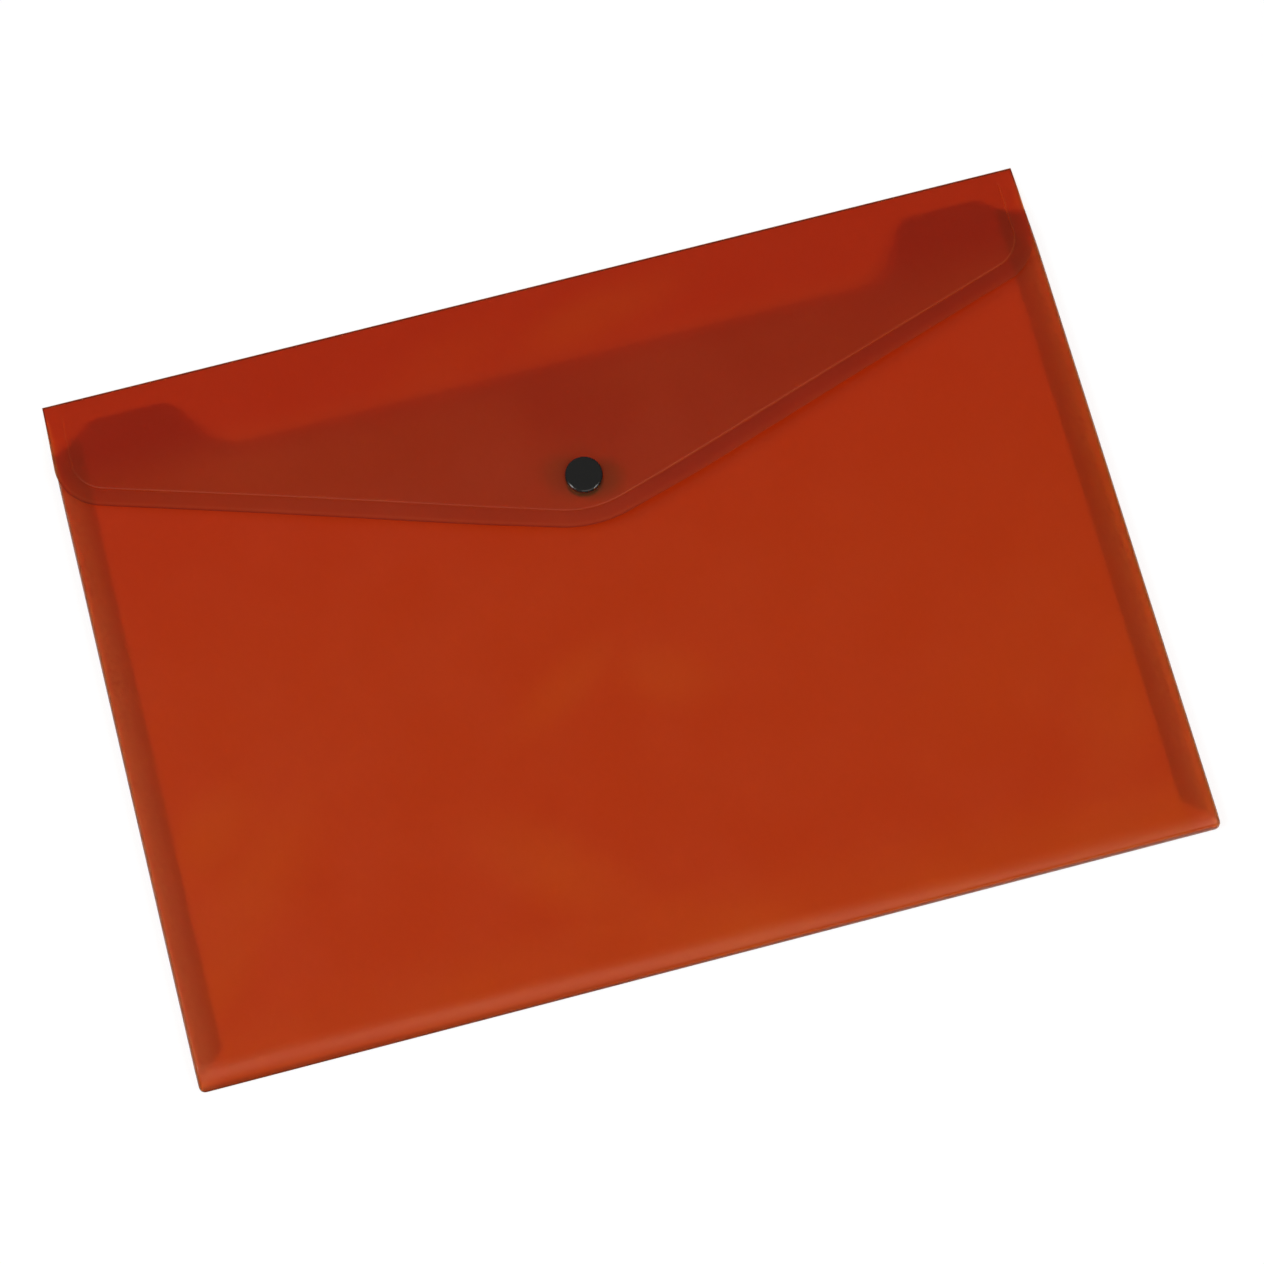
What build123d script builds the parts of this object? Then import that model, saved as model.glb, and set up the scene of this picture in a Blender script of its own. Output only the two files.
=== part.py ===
from build123d import *
import math
import os

os.makedirs("parts", exist_ok=True)

# Folded sheet, in mm
wallet_width = 335.0
wallet_height = 238.0
sheet = 0.2
pocket_gap = 5.6
bottom_corner_radius = 2.0

# Weld tabs, folded in from the sides of the front
tab_reach = 11.4
tab_cut_width = 5.0
tab_cut_length = 8.0
fold_relief = 0.1

# Mouth of the pocket, measured down from the top edge and in from the side
ear_depth = 8.8
mouth_drop = 21.9
ear_width = 41.5
ear_run = 12.6
ear_shoulder_radius = 8.0
ear_foot_radius = 16.0
ear_cut_width = 14.5
ear_cut_drop = 11.7
ear_cut_radius = 4.0

# Closing flap, measured down from the top edge
flap_depth = 89.6
flap_corner_depth = 36.4
flap_corner_radius = 18.0
flap_tip_radius = 40.0
flap_clearance = 0.5
flap_level_margin = 9.3
flap_bend_share = 0.3

# Embossed line that stiffens the flap's edge
emboss_inset = 5.8
emboss_width = 0.7
emboss_cut = 0.07
emboss_start = 4.0

# Living hinge along the top edge
crease_gap = 0.15
crease_play = 0.1

# Press stud: caps and posts
popper_inset = 17.1
cap_radius = 6.2
cap_height = 1.6
cap_round = 1.1
cap_dimple_radius = 2.0
cap_dimple = 0.12
rear_cap_height = 1.1
rear_cap_round = 0.8
post_radius = 1.0
post_clearance = 0.05
edge_round = 0.2

# Press stud: stud and socket
stud_flange = 0.8
stud_gap = 0.1
stud_floor = 0.3
stud_head = 0.35
stud_head_lip = 0.45
stud_head_play = 0.15
stud_head_cover = 0.35
nub_wall = 0.5
nub_bulb = 0.1
nub_neck = 0.4
nub_clearance = 0.25
snap_play = 0.35
socket_lip = 0.45
socket_lip_step = 0.13
socket_ring_wall = 1.75
socket_flange = 0.8
socket_flange_step = 0.8
socket_roof = 0.7
socket_head = 0.35
socket_head_lip = 0.7

# Reach of a cutting solid past the sheet that it trims
overcut = 1.0

# Places and sizes that follow from the ones above
half_w = wallet_width / 2
half_h = wallet_height / 2
front_low = sheet + pocket_gap
front_top = front_low + sheet
roll_radius = front_top / 2
side_radius = (front_top - sheet) / 2
bottom_y = -half_h + roll_radius
bend_y = half_h - ear_depth - mouth_drop
ear_top_y = half_h - ear_depth
side_end_y = ear_top_y - ear_cut_drop
crease_radius = sheet + crease_gap / 2
axis_y = half_h - crease_radius
back_end_y = axis_y - crease_radius
popper_y = half_h - flap_depth + popper_inset

stud_seat = front_top + stud_flange
post_hole = post_radius + post_clearance
stud_head_radius = post_radius + stud_head_lip
recess_radius = stud_head_radius + stud_head_play
neck_radius = recess_radius + nub_wall
bulb_radius = neck_radius + nub_bulb
nub_top = stud_seat + stud_floor + stud_head + stud_head_cover
socket_low = stud_seat + stud_gap
lip_radius = bulb_radius + snap_play
bore_radius = lip_radius + socket_lip_step
ring_radius = bore_radius + socket_ring_wall
flange_radius = ring_radius + socket_flange_step
socket_head_low = nub_top + nub_clearance
socket_head_top = socket_head_low + socket_head
flap_low = socket_head_top + socket_roof
flap_top = flap_low + sheet
cap_top = flap_top + cap_height
rear_cap_low = front_low - rear_cap_height

flap_start = (back_end_y - crease_play, sheet + crease_gap)
flap_bend = (bend_y, front_top + flap_clearance)
flap_level = (popper_y + cap_radius + flap_level_margin, flap_low)
flap_end = (half_h - flap_depth - overcut, flap_low)
ramp = (flap_bend[1] - flap_start[1]) / (flap_start[0] - flap_bend[0])
side_end_top = front_top - ramp * (side_end_y - bend_y)
side_end_radius = (side_end_top - sheet) / 2
flap_slope = (flap_depth - flap_corner_depth) / half_w
for _ in range(4):
    flap_apex = flap_depth + flap_tip_radius * (math.hypot(1, flap_slope) - 1)
    flap_slope = (flap_apex - flap_corner_depth) / half_w


def lifted(points, rise):
    """Offsets a side-view polyline along its own normals, with mitred corners."""
    normals = []
    for (y0, z0), (y1, z1) in zip(points[:-1], points[1:]):
        length = math.hypot(y1 - y0, z1 - z0)
        normals.append(((z1 - z0) / length, (y0 - y1) / length))
    out = []
    for i, (y, z) in enumerate(points):
        before = normals[max(i - 1, 0)]
        after = normals[min(i, len(normals) - 1)]
        scale = rise / (1 + before[0] * after[0] + before[1] * after[1])
        out.append((y + (before[0] + after[0]) * scale, z + (before[1] + after[1]) * scale))
    return out


def flap_profile(low, high):
    """Draws the arched side view of the flap between two heights above its inner face."""
    base = [flap_start, flap_bend, flap_level, flap_end]
    runs = [math.dist(a, b) for a, b in zip(base[:-1], base[1:])]
    angles = [math.atan2(b[1] - a[1], a[0] - b[0]) for a, b in zip(base[:-1], base[1:])]
    radii = []
    for i in range(2):
        reach = min(flap_bend_share * min(runs[i], runs[i + 1]), flap_level_margin)
        radii.append(reach / math.tan((angles[i] - angles[i + 1]) / 2))
    with BuildSketch(Plane.YZ) as profile:
        with BuildLine():
            inner = FilletPolyline(*lifted(base, low), radius=[abs(r + low) for r in radii])
            outer = FilletPolyline(*lifted(base, high), radius=[abs(r + high) for r in radii])
            Line(inner @ 0, outer @ 0)
            Line(inner @ 1, outer @ 1)
        make_face()
    return profile.sketch


def flap_outline(inset, top):
    """Draws the flap's outline from above, moved inwards by inset."""
    side = half_w - inset
    lean = inset * math.hypot(1, flap_slope)
    corner = half_h - flap_corner_depth - flap_slope * inset + lean
    apex = half_h - flap_apex + lean
    rounds = [((-side, corner), flap_corner_radius), ((side, corner), flap_corner_radius)]
    rounds.append(((0, apex), flap_tip_radius))
    with BuildSketch(Plane.XY) as outline:
        with BuildLine():
            Polyline((-side, top), (-side, corner), (0, apex), (side, corner), (side, top), close=True)
        make_face()
        for point, radius in rounds:
            fillet(outline.vertices().sort_by_distance(point)[0], radius - inset)
    return outline.sketch


def quarter_ring(plane, centre, radius, begin):
    """Draws the section of one half of a rolled fold, from the angle begin."""
    with BuildSketch(plane) as section:
        with BuildLine():
            outer = CenterArc(centre, radius, begin, 90)
            inner = CenterArc(centre, radius - sheet, begin, 90)
            Line(outer @ 0, inner @ 0)
            Line(outer @ 1, inner @ 1)
        make_face()
    return section.sketch


def bottom_roll(begin):
    """Builds one half of the bottom fold, with rounded ends."""
    section = quarter_ring(Plane.YZ, (bottom_y, roll_radius), roll_radius, begin)
    extrude(section, amount=half_w, both=True)
    with BuildSketch(Plane.XY) as trim:
        with Locations((0, (bottom_y + overcut - half_h) / 2)):
            Rectangle(wallet_width, roll_radius + overcut)
        fillet(trim.vertices().group_by(Axis.Y)[0], bottom_corner_radius)
    extrude(trim.sketch, amount=front_top, mode=Mode.INTERSECT)


def side_section(sign, y, radius, begin):
    """Draws half of a side fold's section at one place along the side."""
    centre = (sign * (half_w - radius), sheet + radius)
    return quarter_ring(Plane.XZ.offset(-y), centre, radius, begin)


def side_roll(sign, begin):
    """Builds one half of a side fold: a straight roll, and its taper beside the ear."""
    wide = side_section(sign, bend_y, side_radius, begin)
    narrow = side_section(sign, side_end_y, side_end_radius, begin)
    extrude(wide, amount=bend_y - bottom_y - fold_relief)
    loft([wide, narrow], ruled=True)


def weld_tab(sign):
    """Builds one weld tab on the inside of the back."""
    low_y = bottom_y + fold_relief
    inner = half_w - tab_reach
    outline = [
        (half_w - side_radius, low_y),
        (half_w - side_radius, bend_y),
        (half_w - side_end_radius, side_end_y),
        (inner + tab_cut_width, side_end_y),
        (inner, side_end_y - tab_cut_length),
        (inner, low_y + tab_cut_length),
        (inner + tab_cut_width, low_y),
    ]
    with BuildSketch(Plane.XY.offset(sheet)) as tab:
        with BuildLine():
            Polyline(*[(sign * x, y) for x, y in outline], close=True)
        make_face()
    extrude(tab.sketch, amount=sheet)


def turned(points, rounds):
    """Revolves a half section of radius and height pairs about the popper's axis."""
    with BuildSketch(Plane.XZ.offset(-popper_y)) as section:
        with BuildLine():
            Polyline(*points, close=True)
        make_face()
        for point, radius in rounds:
            fillet(section.vertices().sort_by_distance(point)[0], radius)
    revolve(section.sketch, axis=Axis((0, popper_y, 0), (0, 0, 1)))


# Pocket
with BuildPart() as back_panel:
    with BuildSketch(Plane.XY):
        with Locations((0, (bottom_y + back_end_y) / 2)):
            Rectangle(wallet_width, back_end_y - bottom_y)
    extrude(amount=sheet)

with BuildPart() as bottom_fold_back:
    bottom_roll(180)

with BuildPart() as bottom_fold_front:
    bottom_roll(90)

with BuildPart() as front_panel:
    ear_top_z = front_top - ramp * (ear_top_y - bend_y)
    outer_face = [(ear_top_y, ear_top_z), (bend_y, front_top), (bottom_y, front_top)]
    inner_face = lifted(outer_face, -sheet)
    with BuildSketch(Plane.YZ):
        with BuildLine():
            Polyline(*outer_face, *reversed(inner_face), close=True)
        make_face()
    extrude(amount=half_w, both=True)
    with BuildSketch(Plane.XY) as trim:
        half_outline = [
            (half_w - side_radius, bottom_y - overcut),
            (half_w - side_radius, bend_y),
            (half_w - side_end_radius, side_end_y),
            (half_w - ear_cut_width, ear_top_y),
            (half_w - ear_width, ear_top_y),
            (half_w - ear_width - ear_run, bend_y),
        ]
        with BuildLine():
            Polyline(*half_outline, *[(-x, y) for x, y in reversed(half_outline)], close=True)
        make_face()
        ear_radii = (ear_cut_radius, ear_shoulder_radius, ear_foot_radius)
        for (x, y), radius in zip(half_outline[3:], ear_radii):
            for sign in (-1, 1):
                fillet(trim.vertices().sort_by_distance((sign * x, y))[0], radius)
    extrude(amount=front_top + overcut, mode=Mode.INTERSECT)
    with Locations((0, popper_y, front_top)):
        Hole(post_hole)

with BuildPart() as left_fold_back:
    side_roll(-1, 180)

with BuildPart() as left_fold_front:
    side_roll(-1, 90)

with BuildPart() as right_fold_back:
    side_roll(1, -90)

with BuildPart() as right_fold_front:
    side_roll(1, 0)

with BuildPart() as left_weld_tab:
    weld_tab(-1)

with BuildPart() as right_weld_tab:
    weld_tab(1)

with BuildPart() as top_crease:
    with BuildSketch(Plane.YZ):
        with Locations((axis_y, crease_radius)):
            Circle(crease_radius)
    extrude(amount=half_w, both=True)

# Flap
with BuildPart() as emboss_cutter:
    line_edge = flap_outline(emboss_inset - emboss_width / 2, half_h - emboss_start)
    line_core = flap_outline(emboss_inset + emboss_width / 2, half_h)
    extrude(flap_profile(sheet - emboss_cut, sheet + overcut), amount=half_w, both=True)
    extrude(line_edge, amount=flap_top + overcut, mode=Mode.INTERSECT)
    extrude(line_core, amount=flap_top + 2 * overcut, mode=Mode.SUBTRACT)

with BuildPart() as flap_panel:
    extrude(flap_profile(0, sheet), amount=half_w, both=True)
    extrude(flap_outline(0, half_h), amount=flap_top + overcut, mode=Mode.INTERSECT)
    with Locations((0, popper_y, flap_top)):
        Hole(post_hole)
    add(emboss_cutter.part, mode=Mode.SUBTRACT)

# Press stud
with BuildPart() as popper_cap:
    head_radius = post_radius + socket_head_lip
    cap_foot = (cap_radius, flap_top)
    cap_brow = (cap_radius, cap_top)
    turned(
        [
            (0, socket_head_low),
            (head_radius, socket_head_low),
            (head_radius, socket_head_top),
            (post_radius, socket_head_top),
            (post_radius, flap_top),
            cap_foot,
            cap_brow,
            (cap_dimple_radius, cap_top),
            (0, cap_top - cap_dimple),
        ],
        [(cap_foot, edge_round), (cap_brow, cap_round)],
    )

with BuildPart() as popper_socket:
    flange_edge = (flange_radius, flap_low - socket_flange)
    ring_edge = (ring_radius, socket_low)
    lip_edge = (lip_radius, socket_low)
    turned(
        [
            (post_hole, flap_low),
            (flange_radius, flap_low),
            flange_edge,
            (ring_radius, flap_low - socket_flange),
            ring_edge,
            lip_edge,
            (lip_radius, socket_low + socket_lip),
            (bore_radius, socket_low + socket_lip),
            (bore_radius, socket_head_top),
            (post_hole, socket_head_top),
        ],
        [(flange_edge, edge_round), (ring_edge, edge_round), (lip_edge, edge_round)],
    )

with BuildPart() as popper_stud:
    flange_edge = (flange_radius, stud_seat)
    nub_edge = (bulb_radius, nub_top)
    turned(
        [
            (post_hole, front_top),
            (flange_radius, front_top),
            flange_edge,
            (neck_radius, stud_seat),
            (neck_radius, stud_seat + nub_neck),
            (bulb_radius, stud_seat + nub_neck),
            nub_edge,
            (recess_radius, nub_top),
            (recess_radius, stud_seat + stud_floor),
            (post_hole, stud_seat + stud_floor),
        ],
        [(flange_edge, edge_round), (nub_edge, edge_round)],
    )

with BuildPart() as popper_stud_cap:
    head_low = stud_seat + stud_floor
    cap_brow = (cap_radius, rear_cap_low)
    turned(
        [
            (0, rear_cap_low + cap_dimple),
            (cap_dimple_radius, rear_cap_low),
            cap_brow,
            (cap_radius, front_low),
            (post_radius, front_low),
            (post_radius, head_low),
            (stud_head_radius, head_low),
            (stud_head_radius, head_low + stud_head),
            (0, head_low + stud_head),
        ],
        [(cap_brow, rear_cap_round)],
    )

# Files
pieces = {
    "back_panel": back_panel,
    "bottom_fold_back": bottom_fold_back,
    "bottom_fold_front": bottom_fold_front,
    "front_panel": front_panel,
    "left_fold_back": left_fold_back,
    "left_fold_front": left_fold_front,
    "right_fold_back": right_fold_back,
    "right_fold_front": right_fold_front,
    "left_weld_tab": left_weld_tab,
    "right_weld_tab": right_weld_tab,
    "top_crease": top_crease,
    "flap_panel": flap_panel,
    "popper_cap": popper_cap,
    "popper_socket": popper_socket,
    "popper_stud": popper_stud,
    "popper_stud_cap": popper_stud_cap,
}
for name, piece in pieces.items():
    piece.part.label = name
    export_step(piece.part, f"parts/{name}.step")
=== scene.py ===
"""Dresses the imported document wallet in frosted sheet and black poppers, and sets up its studio."""

from __future__ import annotations

import logging
import math
from dataclasses import dataclass, field
from enum import Enum
from functools import cached_property
from typing import Sequence, Union

import bpy
import numpy as np
from mathutils import Matrix, Vector
from numpy.typing import NDArray


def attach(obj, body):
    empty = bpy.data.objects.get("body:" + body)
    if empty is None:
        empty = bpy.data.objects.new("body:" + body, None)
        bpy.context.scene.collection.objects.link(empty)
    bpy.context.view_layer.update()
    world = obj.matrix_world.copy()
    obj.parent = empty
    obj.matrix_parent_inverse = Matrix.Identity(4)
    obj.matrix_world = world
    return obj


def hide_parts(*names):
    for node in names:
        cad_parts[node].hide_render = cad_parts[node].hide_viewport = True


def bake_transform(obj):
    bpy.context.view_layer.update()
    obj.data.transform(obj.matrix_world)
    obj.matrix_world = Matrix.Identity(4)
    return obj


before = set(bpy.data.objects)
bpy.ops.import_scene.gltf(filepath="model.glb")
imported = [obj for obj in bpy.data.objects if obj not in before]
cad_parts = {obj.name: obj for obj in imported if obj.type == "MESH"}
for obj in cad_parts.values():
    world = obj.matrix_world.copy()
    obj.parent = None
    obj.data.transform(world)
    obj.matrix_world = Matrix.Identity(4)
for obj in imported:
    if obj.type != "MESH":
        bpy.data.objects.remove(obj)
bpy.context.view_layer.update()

Array = NDArray[np.float64]
Index = NDArray[np.int64]
Span = tuple[float, float]
Triple = tuple[float, float, float]
Material = bpy.types.Material
Node = bpy.types.Node
Piece = bpy.types.Object
Socket = bpy.types.NodeSocket
Colour = Union[Socket, Triple]

MM = 0.001
MERGES_PER_MM = 1000.0
TINY = 1e-12
QUARTER = math.pi / 2.0
SHEET_SHARP_DEG = 40.0
WHITE = (1.0, 1.0, 1.0, 1.0)
LOG = logging.getLogger("wallet")


class Body(Enum):
    """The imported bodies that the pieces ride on."""

    POCKET = "pocket"
    FLAP = "flap"


class Slot(Enum):
    """The record's material slots."""

    SHEET = "sheet"
    POPPER = "popper"


def ease(value: Array) -> Array:
    """Smooth step from 0 to 1: three times the square less twice the cube of the clipped value."""
    clipped = np.clip(value, 0.0, 1.0)
    return clipped * clipped * (3.0 - 2.0 * clipped)


def bell(distance: Array, width: float) -> Array:
    """Bell curve: e to the power of minus the square of distance over width."""
    return np.exp(-((distance / width) ** 2))


def bank(distance: Array, width: Array | float) -> Array:
    """Half parabola, 1 from width on: 1 less the square of 1 less distance over width."""
    left = np.clip(1.0 - distance / width, 0.0, 1.0)
    return 1.0 - left**2


def crown(distance: Array, width: float) -> Array:
    """Quarter ellipse, upright at its start and 1 from width on: the root of the half parabola."""
    return np.sqrt(bank(distance, width))


def between(share: Array, ends: Span) -> Array:
    """Straight line from the first of two ends, at share 0, to the second, at share 1."""
    return np.interp(share, (0.0, 1.0), ends)


def rounded_path(points: Sequence[Span], radii: Sequence[float], steps: int) -> Array:
    """Polyline with its inner corners turned into arcs.

    An arc starts and ends at the radius times the tangent of half the turn from its corner.

    Args:
        points: the polyline's corners.
        radii: one radius for each inner corner, with 0 for a sharp one.
        steps: points along each arc.

    Returns:
        The path's points, one row each.
    """
    corners = np.asarray(points, float)
    parts = [corners[:1]]
    for before, corner, after, radius in zip(corners[:-2], corners[1:-1], corners[2:], radii):
        if radius <= 0.0:
            parts.append(corner[None])
            continue
        come = (corner - before) / np.linalg.norm(corner - before)
        leave = (after - corner) / np.linalg.norm(after - corner)
        turn = math.acos(float(np.clip(come @ leave, -1.0, 1.0)))
        reach = radius * math.tan(turn / 2.0)
        side = np.array([-come[1], come[0]])
        side *= np.sign(side @ leave)
        angle = np.linspace(0.0, turn, steps)[:, None]
        start = corner - come * reach
        parts.append(start + come * radius * np.sin(angle) + side * radius * (1.0 - np.cos(angle)))
    parts.append(corners[-1:])
    return np.concatenate(parts)


def divided(path: Array, step: float) -> Array:
    """Path with its long runs cut into equal pieces no longer than step.

    Args:
        path: points, one row each.
        step: the longest piece.

    Returns:
        The denser path, with all the old points kept.
    """
    runs = np.linalg.norm(np.diff(path, axis=0), axis=1)
    counts = np.maximum(np.ceil(runs / step), 1).astype(int)
    place = np.repeat(np.arange(len(runs)), counts)
    share = (np.arange(counts.sum()) - np.repeat(np.cumsum(counts) - counts, counts)) / counts[place]
    inner = path[place] + (path[place + 1] - path[place]) * share[:, None]
    return np.concatenate([inner, path[-1:]])


def stacked(x: Array, y: Array, z: Array) -> Array:
    """Rows of x, y and z from three grids of one shape."""
    return np.stack([x, y, z], axis=-1).reshape(-1, 3)


def grid_quads(rows: int, columns: int) -> Index:
    """Corner numbers of the quads of a grid whose points run column by column within each row."""
    number = np.arange(rows * columns).reshape(rows, columns)
    corners = (number[:-1, :-1], number[:-1, 1:], number[1:, 1:], number[1:, :-1])
    return np.stack(corners, axis=-1).reshape(-1, 4)


def ring_quads(rows: int, columns: int) -> Index:
    """Corner numbers of the quads of a grid whose last column joins its first one."""
    number = np.arange(rows * columns).reshape(rows, columns)
    after = np.roll(number, -1, axis=1)
    corners = (number[:-1], after[:-1], after[1:], number[1:])
    return np.stack(corners, axis=-1).reshape(-1, 4)


def merged(points: Array, quads: Index) -> tuple[Index, Index]:
    """Joins points that share a place to a thousandth of a millimetre.

    Args:
        points: places in millimetres, one row each.
        quads: corner numbers, four a row.

    Returns:
        The numbers of the points to keep and the quads renumbered.
    """
    keys = np.round(points * MERGES_PER_MM).astype(np.int64)
    _, first, number = np.unique(keys, axis=0, return_index=True, return_inverse=True)
    return first, number.reshape(-1)[quads]


def new_piece(name: str, points: Array, faces: Sequence[Index], sharp_deg: float) -> Piece:
    """Makes a smooth shaded mesh object from points in millimetres.

    Args:
        name: the piece's name.
        points: places in millimetres, one row each.
        faces: arrays of corner numbers, such as quads and triangles.
        sharp_deg: edges that turn by more than this stay sharp.

    Returns:
        The new object, at the origin, with its place in its mesh.
    """
    mesh = bpy.data.meshes.new(name)
    starts = np.concatenate([np.full(len(part), part.shape[1]) for part in faces])
    corners = np.concatenate([part.ravel() for part in faces])
    mesh.vertices.add(len(points))
    mesh.vertices.foreach_set("co", (points * MM).astype(np.float32).ravel())
    mesh.loops.add(int(starts.sum()))
    mesh.loops.foreach_set("vertex_index", corners.astype(np.int32))
    mesh.polygons.add(len(starts))
    mesh.polygons.foreach_set("loop_start", (np.cumsum(starts) - starts).astype(np.int32))
    mesh.update(calc_edges=True)
    mesh.validate()
    mesh.shade_smooth()
    mesh.set_sharp_from_angle(angle=math.radians(sharp_deg))
    piece = bpy.data.objects.new(name, mesh)
    bpy.context.scene.collection.objects.link(piece)
    return piece


def place_piece(piece: Piece, body: Body, finish: Material, nodes: Sequence[str]) -> None:
    """Dresses a piece and puts it on its body in place of CAD nodes.

    Args:
        piece: the new mesh object.
        body: the body that it rides on.
        finish: its material.
        nodes: the CAD nodes that it stands for.
    """
    piece.data.materials.append(finish)
    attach(piece, body.value)
    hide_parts(*nodes)
    LOG.info("%s: %d faces, for %s", piece.name, len(piece.data.polygons), ", ".join(nodes))


@dataclass(frozen=True)
class Surface:
    """Middle of a sheet: places in millimetres, quads, and marks with one number for each place."""

    points: Array
    quads: Index
    marks: dict[str, Array] = field(default_factory=dict)

    def normals(self) -> Array:
        """Finds unit normals: the crossed diagonals of the quads around each place, added up.

        Returns:
            One normal for each place.
        """
        corner = self.points[self.quads]
        crossed = np.cross(corner[:, 2] - corner[:, 0], corner[:, 3] - corner[:, 1])
        total = np.zeros_like(self.points)
        np.add.at(total, self.quads.ravel(), np.repeat(crossed, 4, axis=0))
        return total / np.maximum(np.linalg.norm(total, axis=1, keepdims=True), TINY)

    def piece(self, name: str, thickness: float) -> Piece:
        """Makes the sheet as a closed wall around this middle.

        Each face lies half the thickness along the normals, and a rim joins the edges that have one quad.

        Args:
            name: the piece's name.
            thickness: the wall's thickness.

        Returns:
            The new object, whose two faces both carry the marks for its material to read.
        """
        count = len(self.points)
        normal = self.normals() * (thickness / 2.0)
        edges = np.stack([self.quads, np.roll(self.quads, -1, axis=1)], axis=-1).reshape(-1, 2)
        low_high = np.sort(edges, axis=1)
        _, number, uses = np.unique(low_high, axis=0, return_inverse=True, return_counts=True)
        free = edges[uses[number.reshape(-1)] == 1]
        rim = np.stack([free[:, 1], free[:, 0], free[:, 0] + count, free[:, 1] + count], axis=-1)
        walls = np.concatenate([self.quads, self.quads[:, ::-1] + count, rim])
        points = np.concatenate([self.points + normal, self.points - normal])
        piece = new_piece(name, points, [walls], SHEET_SHARP_DEG)
        for mark, values in self.marks.items():
            layer = piece.data.attributes.new(mark, "FLOAT", "POINT")
            layer.data.foreach_set("value", np.tile(values, 2).astype(np.float32))
        return piece


class NodeBench:
    """Adds and joins the nodes of one material or world."""

    def __init__(self, owner: Material | bpy.types.World) -> None:
        """Starts with no nodes.

        Args:
            owner: what the nodes are for.
        """
        owner.use_nodes = True
        self.owner = owner
        self.tree = owner.node_tree
        self.tree.nodes.clear()

    @cached_property
    def place(self) -> Socket:
        """Object coordinates."""
        return self.add("ShaderNodeTexCoord").outputs["Object"]

    @cached_property
    def axes(self) -> bpy.types.NodeOutputs:
        """The three parts of the Object coordinates, by axis name."""
        return self.split(self.place)

    def add(self, kind: str, **settings: object) -> Node:
        """Adds a node and sets its inputs by name and its options by attribute.

        Args:
            kind: the node's type name.
            settings: option names, or input names with underscores for spaces.

        Returns:
            The new node.
        """
        node = self.tree.nodes.new(kind)
        for key, value in settings.items():
            if hasattr(node, key):
                setattr(node, key, value)
            else:
                node.inputs[key.replace("_", " ")].default_value = value
        return node

    def join(self, source: Socket, target: Socket) -> None:
        """Links an output to an input."""
        self.tree.links.new(source, target)

    def split(self, vector: Socket) -> bpy.types.NodeOutputs:
        """Splits a vector into its parts.

        Args:
            vector: what is split.

        Returns:
            The parts' sockets, by axis name.
        """
        node = self.add("ShaderNodeSeparateXYZ")
        self.join(vector, node.inputs[0])
        return node.outputs

    def noise(self, scale: float, detail: float = 3.0, roughness: float = 0.5) -> Socket:
        """Adds soft noise on Object coordinates.

        Args:
            scale: how many waves a metre has.
            detail: how often finer noise is added.
            roughness: how strong the finer noise is.

        Returns:
            The noise's socket, about 0.5 on average.
        """
        node = self.add("ShaderNodeTexNoise", Scale=scale, Detail=detail, Roughness=roughness)
        self.join(self.place, node.inputs["Vector"])
        return node.outputs["Fac"]

    def ramp(self, value: Socket, start: Span, end: Span, kind: str = "SMOOTHSTEP") -> Socket:
        """Maps one range of a value to another, held at both ends.

        Args:
            value: what is mapped.
            start: the range that it comes from.
            end: the range that it goes to.
            kind: the way between the ends.

        Returns:
            The mapped value's socket.
        """
        node = self.add("ShaderNodeMapRange", interpolation_type=kind)
        for place, number in zip(("From Min", "From Max", "To Min", "To Max"), (*start, *end)):
            node.inputs[place].default_value = number
        self.join(value, node.inputs["Value"])
        return node.outputs["Result"]

    def calc(self, kind: str, *values: Socket | float) -> Socket:
        """Works out a Math node of sockets and numbers.

        Args:
            kind: the operation.
            values: its inputs in order.

        Returns:
            The result's socket.
        """
        node = self.add("ShaderNodeMath", operation=kind)
        for socket, value in zip(node.inputs, values):
            if isinstance(value, float):
                socket.default_value = value
            else:
                self.join(value, socket)
        return node.outputs[0]

    def blend(self, share: Socket, first: Colour, second: Colour) -> Socket:
        """Mixes two colours, each a socket or three numbers.

        Args:
            share: how much of the second.
            first: the colour at 0.
            second: the colour at 1.

        Returns:
            The mixed colour's socket.
        """
        node = self.add("ShaderNodeMix", data_type="RGBA")
        self.join(share, node.inputs[0])
        for socket, colour in ((node.inputs[6], first), (node.inputs[7], second)):
            if isinstance(colour, tuple):
                socket.default_value = (*colour, 1.0)
            else:
                self.join(colour, socket)
        return node.outputs[2]

    def mix(self, share: Socket, first: Node, second: Node) -> Socket:
        """Mixes two shaders.

        Args:
            share: how much of the second.
            first: the shader at 0.
            second: the shader at 1.

        Returns:
            The mixed shader's socket.
        """
        node = self.add("ShaderNodeMixShader")
        for source, target in zip((share, first.outputs[0], second.outputs[0]), node.inputs):
            self.join(source, target)
        return node.outputs[0]

    def output(self, shader: Socket) -> None:
        """Ends the material or world with this shader."""
        kind = "World" if isinstance(self.owner, bpy.types.World) else "Material"
        self.join(shader, self.add(f"ShaderNodeOutput{kind}").inputs["Surface"])


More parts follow.
